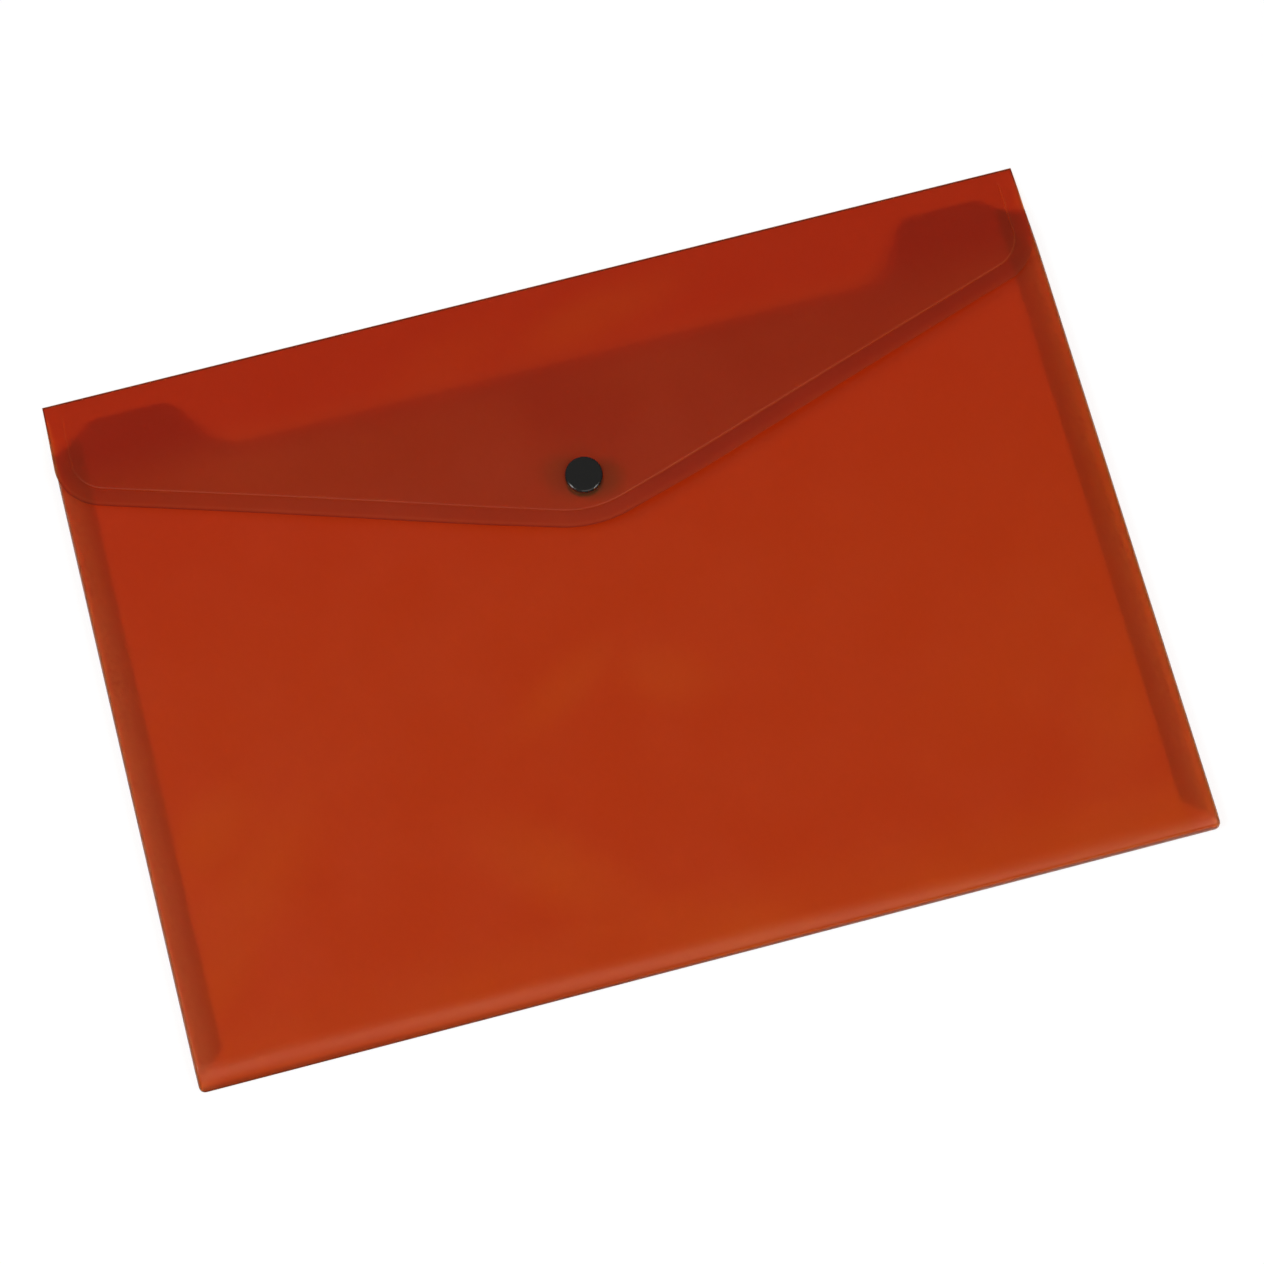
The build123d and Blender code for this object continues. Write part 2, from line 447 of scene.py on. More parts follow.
@dataclass(frozen=True)
class SoftPatch:
    """Oval that fades from a strength in its middle to nothing at its edge, in metres and radians."""

    x: float
    y: float
    half_length: float
    half_width: float
    turn: float
    strength: float
    core: float = 0.1

    def share(self, bench: NodeBench) -> Socket:
        """Works out the strength at each place.

        Args:
            bench: the material's nodes.

        Returns:
            The share's socket.
        """
        lay = bench.add("ShaderNodeMapping", vector_type="TEXTURE")
        lay.inputs["Location"].default_value = (self.x, self.y, 0.0)
        lay.inputs["Rotation"].default_value = (0.0, 0.0, self.turn)
        lay.inputs["Scale"].default_value = (self.half_length, self.half_width, 1.0)
        bench.join(bench.place, lay.inputs["Vector"])
        far = bench.add("ShaderNodeVectorMath", operation="LENGTH")
        bench.join(lay.outputs["Vector"], far.inputs[0])
        return bench.ramp(far.outputs["Value"], (self.core, 1.0), (self.strength, 0.0))


@dataclass(frozen=True)
class FrostedSheet:
    """Translucent polypropylene sheet with a fine matte grain, with its lengths in metres.

    The sheet is milky along the embossed line and where it was welded, and carries a few specks of dust.
    Its colour and milkiness also hold painted light: painted shade towards the upper end, on the flap's
    border and in darker patches, painted sheen along the rolled sides and bottom and in warm soft
    patches, and painted highlights and a painted contact shadow at the flap's edge. Lamps shine through
    it in its own colour.
    """

    name: str = "frosted_red_sheet"
    tint: Triple = (0.85, 0.35, 0.06)
    # painted sheen: warmer, lighter colour along the rolled bottom and in soft patches
    warm_sheen_tint: Triple = (0.88, 0.45, 0.07)
    # painted shade: the upper end is darker and redder, where less light reaches it
    upper_shade_tint: Triple = (0.85, 0.31, 0.075)
    # painted shade in darker patches
    shade_patch_tint: Triple = (0.76, 0.27, 0.06)
    # painted shade on the flap's border, outside its embossed line
    border_shade_tint: Triple = (0.68, 0.24, 0.06)
    # painted sheen along the rolled sides
    side_sheen_tint: Triple = (0.865, 0.385, 0.11)
    tab_tint: Triple = (0.72, 0.38, 0.075)
    # the embossed line's milky tint, also used for painted highlights and painted light at the flap's
    # edge
    pressed_and_lit_tint: Triple = (1.0, 0.6, 0.16)
    # dark outline, also used for painted shade along the bottom's left and a painted contact shadow at
    # the flap's cut edge
    edge_tint: Triple = (0.46, 0.16, 0.06)
    lamp_tint: Triple = (0.85, 0.58, 0.2)
    shine: Triple = (0.7, 0.7, 0.7)
    # soft patches of painted sheen
    patches: tuple[SoftPatch, ...] = (
        SoftPatch(-0.14, -0.062, 0.055, 0.02, 0.75, 0.6),
        SoftPatch(-0.146, -0.04, 0.032, 0.018, 0.6, 0.6),
        SoftPatch(-0.151, -0.082, 0.028, 0.015, 1.0, 0.8),
        SoftPatch(-0.036, -0.084, 0.056, 0.019, -0.75, 0.8),
        SoftPatch(-0.022, -0.102, 0.045, 0.014, 0.0, 0.7),
        SoftPatch(-0.026, -0.021, 0.034, 0.012, 0.55, 0.6),
        SoftPatch(0.009, -0.025, 0.026, 0.015, -0.4, 0.42),
        SoftPatch(0.147, -0.07, 0.05, 0.024, 1.2, 0.5),
        SoftPatch(0.125, -0.045, 0.07, 0.035, 0.6, 0.3),
    )
    shade_patches: tuple[SoftPatch, ...] = ()
    upper_shade_run: Span = (-0.01, 0.085)
    noise_span: Span = (0.3, 0.7)
    cloud_scale: float = 16.0
    cloud_levels: Span = (0.6, 1.3)
    mottle_scale: float = 700.0
    mottle_roughness: float = 0.6
    mottle_span: Span = (0.35, 0.65)
    edge_x: float = 0.1671
    edge_low: float = -0.1186
    edge_top: float = 0.1184
    edge_half: float = 0.0002
    low_shade: float = 0.65
    low_shade_reach: float = 0.0015
    low_shade_run: Span = (-0.14, 0.08)
    # strength of the painted sheen along the rolled bottom and sides
    fold_sheen: float = 0.8
    fold_left_share: float = 0.45
    fold_left_run: Span = (-0.16, 0.0)
    fold_low_run: Span = (-0.115, -0.088)
    # where the painted sheen along the sides lies, leans and fades upwards
    fold_strip: Span = (0.155, 0.162)
    fold_lean: float = 0.25
    fold_fade: Span = (-0.03, 0.055)
    # painted sheen: the sheet passes less light along the rolled sides, so it looks hazier there
    fold_sheen_milk: float = 0.028
    fold_sheen_milk_run: Span = (0.158, 0.167)
    fold_sheen_milk_levels: Span = (0.2, 1.8)
    clearness: float = 0.977
    # milkiness of the embossed line and of the painted highlights at the flap's edge
    pressed_and_lit_milk: float = 0.01
    weld_milk: float = 0.06
    weld_levels: Span = (0.45, 1.1)
    dust_milk: float = 0.3
    dust_scale: float = 75.0
    dust_rarity: float = 0.95
    dust_rim: Span = (0.01, 0.02)
    bend: float = 1.3
    roughness: float = 0.36
    wear: float = 0.03
    wear_scale: float = 40.0
    glance_smooth: float = 0.72
    glance: Span = (0.12, 0.34)
    glance_flat: Span = (0.9, 0.97)
    grain_height: float = 0.00002
    grain_scale: float = 1500.0
    grain_detail: float = 2.0
    grain_strength: float = 0.4

    @staticmethod
    def mark(bench: NodeBench, name: str) -> Socket:
        """Reads one of the piece's own marks, which is 0 on a piece without it."""
        return bench.add("ShaderNodeAttribute", attribute_name=name).outputs["Fac"]

    def mottle(self, bench: NodeBench, levels: Span) -> Socket:
        """Adds millimetre-sized blotches: where welded sheets stick in places, and to break up the
        painted sheen along the rolled sides.
        """
        cloud = bench.noise(self.mottle_scale, roughness=self.mottle_roughness)
        return bench.ramp(cloud, self.mottle_span, levels)

    def weld(self, bench: NodeBench) -> Socket:
        """Mottles the weld tabs."""
        return bench.calc("MULTIPLY", self.mark(bench, "tab"), self.mottle(bench, self.weld_levels))

    def painted_sheen(self, bench: NodeBench) -> Socket:
        """Adds up the painted sheen, which makes the sheet warmer and lighter: along the rolled bottom
        and in its soft patches.

        Args:
            bench: the material's nodes.

        Returns:
            The share's socket.
        """
        to_right = bench.ramp(bench.axes["X"], self.fold_left_run, (self.fold_left_share, 1.0))
        bottom = bench.ramp(bench.axes["Y"], self.fold_low_run, (self.fold_sheen, 0.0))
        total = bench.calc("MULTIPLY", bottom, to_right)
        for patch in self.patches:
            total = bench.calc("MAXIMUM", total, patch.share(bench))
        uneven = bench.ramp(bench.noise(self.cloud_scale), self.noise_span, self.cloud_levels)
        return bench.calc("MULTIPLY", total, uneven)

    def side(self, bench: NodeBench) -> Socket:
        """Finds the strips of painted sheen along the rolled sides, which fade upwards, and sooner at the
        right.

        Args:
            bench: the material's nodes.

        Returns:
            The share's socket.
        """
        across = bench.calc("ABSOLUTE", bench.axes["X"])
        strip = bench.ramp(across, self.fold_strip, (0.0, self.fold_sheen))
        height = bench.calc("MULTIPLY_ADD", bench.axes["X"], self.fold_lean, bench.axes["Y"])
        return bench.calc("MULTIPLY", strip, bench.ramp(height, self.fold_fade, (1.0, 0.0)))

    def edge(self, bench: NodeBench) -> Socket:
        """Finds the dark edges: a thin outline, a wider painted shade along the bottom's left, and a
        painted contact shadow along the flap's cut edge.

        Args:
            bench: the material's nodes.

        Returns:
            The share's socket.
        """
        side = bench.calc("SUBTRACT", bench.calc("ABSOLUTE", bench.axes["X"]), self.edge_x)
        low = bench.calc("SUBTRACT", self.edge_low, bench.axes["Y"])
        top = bench.calc("SUBTRACT", bench.axes["Y"], self.edge_top)
        out = bench.calc("MAXIMUM", side, bench.calc("MAXIMUM", low, top))
        line = bench.ramp(out, (-self.edge_half, self.edge_half), (0.0, 1.0))
        # painted shade along the bottom's left edge
        shade = bench.ramp(low, (-self.low_shade_reach, 0.0), (0.0, self.low_shade))
        to_left = bench.ramp(bench.axes["X"], self.low_shade_run, (1.0, 0.0))
        outline = bench.calc("MAXIMUM", line, bench.calc("MULTIPLY", shade, to_left))
        return bench.calc("MAXIMUM", outline, self.mark(bench, "cut"))

    def colour(self, bench: NodeBench) -> Socket:
        """Lays the tints over the first one: painted shade on the upper end, on the flap's border and in
        darker patches, painted sheen in warm patches and along the rolled sides, the tabs, the embossed
        line with painted highlights, and the edges with painted shade and shadow.

        Args:
            bench: the material's nodes.

        Returns:
            The colour's socket.
        """
        layers = [
            # painted shade towards the upper end
            (bench.ramp(bench.axes["Y"], self.upper_shade_run, (0.0, 1.0)), self.upper_shade_tint),
            (self.mark(bench, "border"), self.border_shade_tint),
            # painted shade in darker patches
            *((patch.share(bench), self.shade_patch_tint) for patch in self.shade_patches),
            # painted sheen along the rolled bottom and in soft patches
            (self.painted_sheen(bench), self.warm_sheen_tint),
            # painted sheen along the rolled sides
            (self.side(bench), self.side_sheen_tint),
            (self.weld(bench), self.tab_tint),
            # embossed line, with painted highlights at the flap's edge
            (self.mark(bench, "pressed_and_lit"), self.pressed_and_lit_tint),
            (self.edge(bench), self.edge_tint),
        ]
        mixed: Colour = self.tint
        for share, tint in layers:
            mixed = bench.blend(share, mixed, tint)
        return mixed

    def milk(self, bench: NodeBench) -> Socket:
        """Takes off what makes the sheet milky: the embossed line with its painted highlights, painted
        sheen along the rolled sides, mottled welds and dust.

        Args:
            bench: the material's nodes.

        Returns:
            The socket of the share of light that the sheet passes.
        """
        across = bench.calc("ABSOLUTE", bench.axes["X"])
        # painted sheen along the rolled sides
        fold_sheen_share = bench.ramp(across, self.fold_sheen_milk_run, (0.0, self.fold_sheen_milk))
        fold_sheen_share = bench.calc("MULTIPLY", fold_sheen_share, self.mottle(bench, self.fold_sheen_milk_levels))
        dust = bench.add("ShaderNodeTexVoronoi", voronoi_dimensions="2D", Scale=self.dust_scale)
        bench.join(bench.place, dust.inputs["Vector"])
        chosen = bench.calc("GREATER_THAN", bench.split(dust.outputs["Color"])["X"], self.dust_rarity)
        speck = bench.ramp(dust.outputs["Distance"], self.dust_rim, (1.0, 0.0))
        speck = bench.calc("MULTIPLY", chosen, speck)
        pressed_and_lit = self.mark(bench, "pressed_and_lit")
        clear = bench.calc("MULTIPLY_ADD", pressed_and_lit, -self.pressed_and_lit_milk, self.clearness)
        clear = bench.calc("MULTIPLY_ADD", self.weld(bench), -self.weld_milk, clear)
        clear = bench.calc("SUBTRACT", clear, fold_sheen_share)
        return bench.calc("MULTIPLY_ADD", speck, -self.dust_milk, clear)

    def gloss(self, bench: NodeBench) -> Socket:
        """Works out the uneven roughness, which falls at a glancing angle as matte faces do, where flat.

        Args:
            bench: the material's nodes.

        Returns:
            The roughness's socket.
        """
        levels = (self.roughness - self.wear, self.roughness + self.wear)
        rough = bench.ramp(bench.noise(self.wear_scale), self.noise_span, levels)
        facing = bench.add("ShaderNodeLayerWeight", Blend=0.5).outputs["Facing"]
        glancing = bench.ramp(facing, self.glance, (0.0, self.glance_smooth))
        normal = bench.add("ShaderNodeNewGeometry").outputs["Normal"]
        upright = bench.calc("ABSOLUTE", bench.split(normal)["Z"])
        flat = bench.ramp(upright, self.glance_flat, (0.0, 1.0))
        smoother = bench.calc("MULTIPLY", glancing, flat)
        return bench.calc("MULTIPLY", rough, bench.calc("SUBTRACT", 1.0, smoother))

    def material(self) -> Material:
        """Builds the material on Object coordinates.

        Returns:
            The sheet's material.
        """
        sheet = bpy.data.materials.new(self.name)
        bench = NodeBench(sheet)
        bump = bench.add("ShaderNodeBump", Strength=self.grain_strength, Distance=self.grain_height)
        bench.join(bench.noise(self.grain_scale, self.grain_detail), bump.inputs["Height"])
        shader = bench.add("ShaderNodeBsdfPrincipled", IOR=self.bend, Specular_Tint=(*self.shine, 1.0))
        bench.join(self.colour(bench), shader.inputs["Base Color"])
        bench.join(self.milk(bench), shader.inputs["Transmission Weight"])
        bench.join(self.gloss(bench), shader.inputs["Roughness"])
        bench.join(bump.outputs["Normal"], shader.inputs["Normal"])
        passing = bench.add("ShaderNodeBsdfTransparent", Color=(*self.lamp_tint, 1.0))
        shadow = bench.add("ShaderNodeLightPath").outputs["Is Shadow Ray"]
        bench.output(bench.mix(shadow, shader, passing))
        return sheet


@dataclass(frozen=True)
class FlapSheet(FrostedSheet):
    """The same sheet on the flap, which is not rolled and lies over the ears and the mouth."""

    name: str = "frosted_red_flap"
    tint: Triple = (0.835, 0.365, 0.075)
    # painted shade on the flap's upper end
    upper_shade_tint: Triple = (0.8, 0.258, 0.07)
    shine: Triple = (0.95, 0.95, 1.0)
    # soft patches of painted sheen on the flap
    patches: tuple[SoftPatch, ...] = (
        SoftPatch(-0.035, 0.1, 0.035, 0.014, 0.3, 0.3),
        SoftPatch(0.02, 0.103, 0.045, 0.014, 0.2, 0.5),
        SoftPatch(-0.09, 0.072, 0.07, 0.024, -0.1, 0.25),
    )
    # patches of painted shade on the flap
    shade_patches: tuple[SoftPatch, ...] = (
        SoftPatch(0.0, 0.072, 0.045, 0.022, -0.8, 0.6),
        SoftPatch(0.07, 0.072, 0.08, 0.03, 0.3, 0.25),
        SoftPatch(0.12, 0.083, 0.035, 0.013, 0.33, 0.45),
    )
    upper_shade_run: Span = (0.075, 0.1)
    fold_sheen: float = 0.0
    fold_sheen_milk: float = 0.0


@dataclass(frozen=True)
class BlackPopper:
    """Glossy black moulded plastic."""

    name: str = "black_popper_plastic"
    tint: Triple = (0.006, 0.006, 0.0055)
    rough_levels: Span = (0.09, 0.26)
    wear_scale: float = 700.0
    bend: float = 1.5

    def material(self) -> Material:
        """Builds the material on Object coordinates.

        Returns:
            The popper's material.
        """
        popper = bpy.data.materials.new(self.name)
        bench = NodeBench(popper)
        rough = bench.ramp(bench.noise(self.wear_scale), (0.0, 1.0), self.rough_levels, "LINEAR")
        shader = bench.add("ShaderNodeBsdfPrincipled", Base_Color=(*self.tint, 1.0), IOR=self.bend)
        bench.join(rough, shader.inputs["Roughness"])
        bench.output(shader.outputs["BSDF"])
        return popper


@dataclass(frozen=True)
class Outline:
    """Sizes that the sheet's panels share, in millimetres."""

    half_width: float = 167.5
    half_height: float = 119.0
    sheet: float = 0.2
    front: float = 5.9
    back: float = 0.1
    tab: float = 0.34
    seam: float = 2.0
    bend_y: float = 88.3
    side_end_y: float = 98.5
    ear_top_y: float = 110.2
    slope: float = 0.2047
    corner: float = 2.0

    def rounded(self, x: Array, y: Array) -> tuple[Array, Array]:
        """Rounds the two lower corners in plan by mapping a square at each to a quarter disc.

        Each share of the square is multiplied by the root of 1 less half the square of the other share.

        Args:
            x: places across the plan.
            y: places up the plan.

        Returns:
            The moved x and y.
        """
        across = np.clip(1.0 - (self.half_width - np.abs(x)) / self.corner, 0.0, 1.0)
        along = np.clip(1.0 - (y + self.half_height) / self.corner, 0.0, 1.0)
        in_x = across * (1.0 - np.sqrt(1.0 - along**2 / 2.0)) * self.corner
        in_y = along * (1.0 - np.sqrt(1.0 - across**2 / 2.0)) * self.corner
        return x - np.sign(x) * in_x, y + in_y


@dataclass
class PocketBack:
    """The flat back and the lower half of the bottom fold."""

    size: Outline = Outline()
    roll: float = 3.0
    end_y: float = 118.45
    margin: float = 4.0
    roll_rows: int = 14
    flat_rows: int = 70
    margin_columns: int = 9
    middle_columns: int = 90

    def surface(self) -> Surface:
        """Flat sheet whose lowest strip rises to the seam as a quarter ellipse.

        Returns:
            The middle surface.
        """
        low = -self.size.half_height
        turn = np.linspace(0.0, QUARTER, self.roll_rows)
        rolled = low + self.roll * (1.0 - np.cos(turn))
        y = np.concatenate([rolled, np.linspace(low + self.roll, self.end_y, self.flat_rows)[1:]])
        near = self.size.half_width - np.linspace(0.0, self.margin, self.margin_columns)
        middle = np.linspace(-near[-1], near[-1], self.middle_columns)[1:-1]
        x = np.concatenate([-near, middle, near[::-1]])
        across, along = np.meshgrid(x, y)
        height = self.size.seam - (self.size.seam - self.size.back) * crown(along - low, self.roll)
        return Surface(stacked(*self.size.rounded(across, along), height), grid_quads(len(y), len(x)))

    def build(self, finish: Material) -> None:
        """Makes the back and puts it on the pocket."""
        piece = self.surface().piece("pocket_back", self.size.sheet)
        place_piece(piece, Body.POCKET, finish, ["back_panel", "bottom_fold_back"])


@dataclass
class PocketFront:
    """The front with its ears, the rolled sides and the weld tabs, as one sheet."""

    size: Outline = Outline()
    roll: float = 1.2
    shoulder: float = 9.0
    shoulder_rise: float = 0.6
    under: float = 3.0
    bottom_rolls: Span = (0.0, 2.6)
    bottom_reaches: Span = (8.4, 6.5)
    tab_reach: float = 9.5
    tab_cut_width: float = 5.0
    tab_cut_length: float = 5.0
    tab_low_y: float = -111.5
    tab_rise: float = 7.0
    tab_rise_width: float = 4.0
    tab_power: int = 8
    ear_width: float = 41.5
    ear_run: float = 12.6
    ear_cut: float = 14.5
    ear_radii: Triple = (16.0, 8.0, 4.0)
    side_end_in: float = 1.86
    side_lifts: Span = (2.6, 4.0)
    side_lift_in: float = 7.0
    side_lift_run: float = 5.0
    bend_ease: float = 2.0
    sag: float = 0.7
    sag_y: float = -35.0
    sag_run: float = 60.0
    arc_steps: int = 12
    coarse_to: float = 106.0
    coarse_columns: int = 50
    fine_columns: int = 110
    over_columns: int = 26
    under_columns: int = 14
    tab_columns: int = 12
    curl_rows: int = 30
    middle_rows: int = 50
    upper_rows: int = 40
    upper_share: float = 0.84

    def top_edge(self, x: Array) -> Array:
        """Height of the mouth and ears across the front: a rounded path read off at each place.

        Args:
            x: distances from the middle.

        Returns:
            The top edge's y at each distance.
        """
        wide = self.size.half_width
        corners = [
            (0.0, self.size.bend_y),
            (wide - self.ear_width - self.ear_run, self.size.bend_y),
            (wide - self.ear_width, self.size.ear_top_y),
            (wide - self.ear_cut, self.size.ear_top_y),
            (wide - self.side_end_in, self.size.side_end_y),
            (wide, self.size.side_end_y),
        ]
        path = rounded_path(corners, [*self.ear_radii, 0.0], self.arc_steps)
        return np.interp(x, path[:, 0], path[:, 1])

    def columns(self) -> tuple[Array, Array, Array, Array]:
        """Right half of the sheet's columns, from the middle over the roll to the tab's inner edge.

        At the side the sheet rises by a tight quarter ellipse and then by a gentle half parabola.

        Returns:
            x, rise from -1 at the tab to 1 on the front, lowest y and highest y of each column.
        """
        wide = self.size.half_width
        low = -self.size.half_height
        side_end = self.size.side_end_y
        coarse = np.linspace(0.0, self.coarse_to, self.coarse_columns)
        fine = np.linspace(self.coarse_to, wide - self.shoulder, self.fine_columns)[1:]
        front = np.concatenate([coarse, fine])
        over = np.linspace(QUARTER, 0.0, self.over_columns)[1:]
        below = np.linspace(0.0, QUARTER, self.under_columns)[1:]
        tab = np.linspace(wide - self.under, wide - self.tab_reach, self.tab_columns)[1:]
        inward = self.shoulder * (1.0 - np.cos(over))
        upper = np.concatenate([front, wide - inward])
        share = self.shoulder_rise / (self.size.front - self.size.seam)
        rolled = (1.0 - share) * crown(inward, self.roll) + share * bank(inward, self.shoulder)
        lift = (self.tab_low_y - low) * (1.0 - np.cos(below))
        from_cut = wide - self.tab_reach + self.tab_cut_width - tab
        cut = self.tab_cut_length * np.clip(from_cut / self.tab_cut_width, 0.0, 1.0)
        climb = self.tab_rise * np.clip((wide - self.under - tab) / self.tab_rise_width, 0.0, 1.0)
        x = np.concatenate([upper, wide - self.under * (1.0 - np.cos(below)), tab])
        rise = np.concatenate([np.ones_like(front), rolled, -np.sin(below), -np.ones_like(tab)])
        bottom = np.concatenate([np.full_like(upper, low), low + lift, self.tab_low_y + cut])
        top = np.concatenate([self.top_edge(upper), np.full_like(below, side_end), side_end + climb])
        return x, rise, bottom, top

    def heights(self, x: Array, y: Array, rise: Array) -> Array:
        """Height of the sheet: halfway between tab and front, plus the rise times half their distance.

        The front falls along the ramp past the bend, comes down to the seam at the bottom by a wide bank
        at the left and a tight roll at the right, and sags a little in its lower middle.

        Args:
            x: places across.
            y: places along.
            rise: the columns' rise.

        Returns:
            The middle surface's height at each place.
        """
        size = self.size
        past = y - size.bend_y
        fall = size.slope * (past + np.sqrt(past**2 + self.bend_ease**2)) / 2.0
        from_low = y + size.half_height
        to_right = ease((x + size.half_width) / (2.0 * size.half_width))
        rolled = between(to_right, self.bottom_rolls)
        reach = between(to_right, self.bottom_reaches)
        rest = size.front - fall - size.seam - rolled
        front = size.seam + rolled * crown(from_low, self.roll) + rest * bank(from_low, reach)
        under = size.seam - (size.seam - size.tab) * crown(from_low, self.under)
        middle = (front + under) / 2.0
        open_share = np.clip(1.0 - (x / size.half_width) ** 2, 0.0, 1.0)
        hollow = self.sag * open_share * bell(y - self.sag_y, self.sag_run)
        return middle + rise * (front - under) / 2.0 - hollow * np.clip(rise, 0.0, 1.0)

    def surface(self) -> Surface:
        """Grid whose columns each run from their lowest to their highest y.

        The folds at the sides end a little higher than the ears' lower corners.

        Returns:
            The middle surface, marked with how much of each place is tab.
        """
        x, rise, bottom, top = self.columns()
        x = np.concatenate([-x[:0:-1], x])
        rise, bottom, top = (np.concatenate([part[:0:-1], part]) for part in (rise, bottom, top))
        lift = np.where(x < 0.0, *self.side_lifts)
        from_side = np.abs(x) - self.size.half_width + self.side_lift_in
        top = top + lift * ease(from_side / self.side_lift_run)
        turn = np.linspace(0.0, QUARTER, self.curl_rows)
        whole = self.size.bend_y + self.size.half_height
        curl = max(self.bottom_reaches) * (1.0 - np.cos(turn)) / whole
        middle = np.linspace(curl[-1], self.upper_share, self.middle_rows)[1:]
        upper = np.linspace(self.upper_share, 1.0, self.upper_rows)[1:]
        share = np.concatenate([curl, middle, upper])
        along = bottom + (top - bottom) * share[:, None]
        across = np.broadcast_to(x, along.shape)
        height = self.heights(across, along, np.broadcast_to(rise, along.shape))
        tab = np.broadcast_to(np.clip(-rise, 0.0, 1.0) ** self.tab_power, along.shape)
        points = stacked(*self.size.rounded(across, along), height)
        return Surface(points, grid_quads(len(share), len(x)), {"tab": tab.ravel()})

    def build(self, finish: Material) -> None:
        """Makes the front and puts it on the pocket."""
        piece = self.surface().piece("pocket_front", self.size.sheet)
        parts = ("fold_back", "fold_front", "weld_tab")
        sides = [f"{side}_{part}" for side in ("left", "right") for part in parts]
        place_piece(piece, Body.POCKET, finish, ["front_panel", "bottom_fold_front", *sides])


@dataclass
class TopCrease:
    """The living hinge: the sheet turned back on itself along the top edge."""

    size: Outline = Outline()
    axis_y: float = 118.725
    axis_z: float = 0.275
    radius: float = 0.175
    back_end_y: float = 118.45
    flap_end_y: float = 118.35
    turn_rows: int = 17
    columns: int = 61

    def surface(self) -> Surface:
        """Half circle between two short flat runs, carried along the width.

        Returns:
            The middle surface.
        """
        turn = np.linspace(-QUARTER, QUARTER, self.turn_rows)
        y = self.axis_y + self.radius * np.cos(turn)
        z = self.axis_z + self.radius * np.sin(turn)
        y = np.concatenate([[self.back_end_y], y, [self.flap_end_y]])
        z = np.concatenate([[z[0]], z, [z[-1]]])
        x = np.linspace(-self.size.half_width, self.size.half_width, self.columns)
        across, along = np.meshgrid(x, y)
        height = np.broadcast_to(z[:, None], along.shape)
        return Surface(stacked(across, along, height), grid_quads(len(y), len(x))[:, ::-1])

    def build(self, finish: Material) -> None:
        """Makes the crease, a fixed half circle between the pocket and the flap.

        Args:
            finish: the sheet's material.
        """
        piece = self.surface().piece("top_crease_fold", self.size.sheet)
        piece.data.materials.append(finish)
        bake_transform(piece)
        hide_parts("top_crease")
        LOG.info("%s: %d faces", piece.name, len(piece.data.polygons))


